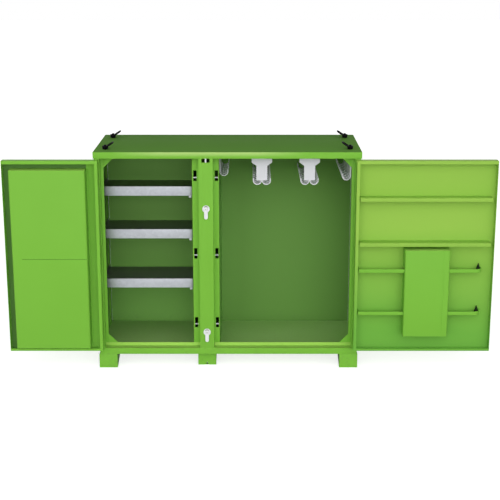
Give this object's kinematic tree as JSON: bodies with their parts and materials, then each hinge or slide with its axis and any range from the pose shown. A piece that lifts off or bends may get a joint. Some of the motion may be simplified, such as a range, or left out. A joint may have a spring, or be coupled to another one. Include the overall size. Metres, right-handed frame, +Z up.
{
  "type": "two-door storage cabinet",
  "caption": "Free-standing green steel storage cabinet on pressed feet with two doors folded back, shelves on one side, strap hook racks on the other, and lifting rings on top.",
  "frame": {"origin": "centre of the bounding box's footprint with both doors folded right back, on the floor", "axes": "+X along the cabinet's width to the viewer's right, +Y from the open front to the back, +Z up"},
  "size_m": [2.795, 0.7106, 1.3296],
  "materials": {
    "green_paint": "satin powder coat",
    "grey_shelf": "satin",
    "white_paint": "satin",
    "black_steel": "black oxide",
    "bare_steel": "bare"
  },
  "bodies": {
    "cabinet": {"lid": "green_paint", "back_panel": "green_paint", "floor_pan": "green_paint", "front_sill": "green_paint", "header": "green_paint", "centre_post": "green_paint", "left_divider": "green_paint", "right_divider": "green_paint", "lock_ladder": "white_paint", "upper_lock_rose": "white_paint", "lower_lock_rose": "white_paint", "left_side_panel": "green_paint", "left_jamb": "green_paint", "left_upper_gusset": "green_paint", "left_lower_gusset": "green_paint", "left_hinge_frame_leaf": "green_paint", "left_hinge_pin": "bare_steel", "left_front_ring_base": "black_steel", "left_rear_ring_base": "black_steel", "right_side_panel": "green_paint", "right_jamb": "green_paint", "right_upper_gusset": "green_paint", "right_lower_gusset": "green_paint", "right_hinge_frame_leaf": "green_paint", "right_hinge_pin": "bare_steel", "right_front_ring_base": "black_steel", "right_rear_ring_base": "black_steel", "upper_shelf": "grey_shelf", "middle_shelf": "grey_shelf", "lower_shelf": "grey_shelf", "wall_upright_front": "green_paint", "divider_upright_front": "green_paint", "left_front_foot": "green_paint", "middle_front_foot": "green_paint", "right_front_foot": "green_paint", "wall_upright_rear": "green_paint", "divider_upright_rear": "green_paint", "left_rear_foot": "green_paint", "middle_rear_foot": "green_paint", "right_rear_foot": "green_paint", "left_hook_rack": "white_paint", "middle_hook_rack_1": "white_paint", "middle_hook_rack_2": "white_paint", "right_hook_rack": "white_paint"},
    "left_door": {"left_door_pan": "green_paint", "left_hinge_door_leaf": "green_paint", "left_door_box": "green_paint"},
    "right_door": {"right_door_pan": "green_paint", "right_hinge_door_leaf": "green_paint", "right_door_box": "green_paint", "upper_door_shelf": "green_paint", "middle_door_shelf": "green_paint", "upper_door_tray": "green_paint", "lower_door_tray": "green_paint"},
    "upper_lever": {"upper_lock_lever": "white_paint"},
    "lower_lever": {"lower_lock_lever": "white_paint"},
    "left_front_bail": {"left_front_ring_bail": "black_steel"},
    "left_rear_bail": {"left_rear_ring_bail": "black_steel"},
    "right_front_bail": {"right_front_ring_bail": "black_steel"},
    "right_rear_bail": {"right_rear_ring_bail": "black_steel"}
  },
  "joints": [
    {"name": "left_door_hinge", "type": "hinge", "parent": "cabinet", "child": "left_door", "pos_m": [-0.8525, -0.2671, 0.6875], "axis": [0, 0, 1], "range_deg": [0, 180]},
    {"name": "right_door_hinge", "type": "hinge", "parent": "cabinet", "child": "right_door", "pos_m": [0.5995, -0.2671, 0.6875], "axis": [0, 0, -1], "range_deg": [0, 180]},
    {"name": "upper_lever_turn", "type": "hinge", "parent": "cabinet", "child": "upper_lever", "pos_m": [-0.2505, -0.2737, 0.962], "axis": [0, 1, 0], "range_deg": [0, 90]},
    {"name": "lower_lever_turn", "type": "hinge", "parent": "cabinet", "child": "lower_lever", "pos_m": [-0.2505, -0.2737, 0.222], "axis": [0, 1, 0], "range_deg": [0, 90]},
    {"name": "left_front_bail_tip", "type": "hinge", "parent": "cabinet", "child": "left_front_bail", "pos_m": [-0.8275, -0.1627, 1.3013], "axis": [0, 1, 0], "range_deg": [-145, 30]},
    {"name": "left_rear_bail_tip", "type": "hinge", "parent": "cabinet", "child": "left_rear_bail", "pos_m": [-0.8275, 0.2433, 1.3013], "axis": [0, 1, 0], "range_deg": [-145, 30]},
    {"name": "right_front_bail_tip", "type": "hinge", "parent": "cabinet", "child": "right_front_bail", "pos_m": [0.5745, -0.1627, 1.3013], "axis": [0, -1, 0], "range_deg": [-145, 30]},
    {"name": "right_rear_bail_tip", "type": "hinge", "parent": "cabinet", "child": "right_rear_bail", "pos_m": [0.5745, 0.2433, 1.3013], "axis": [0, -1, 0], "range_deg": [-145, 30]}
  ]
}
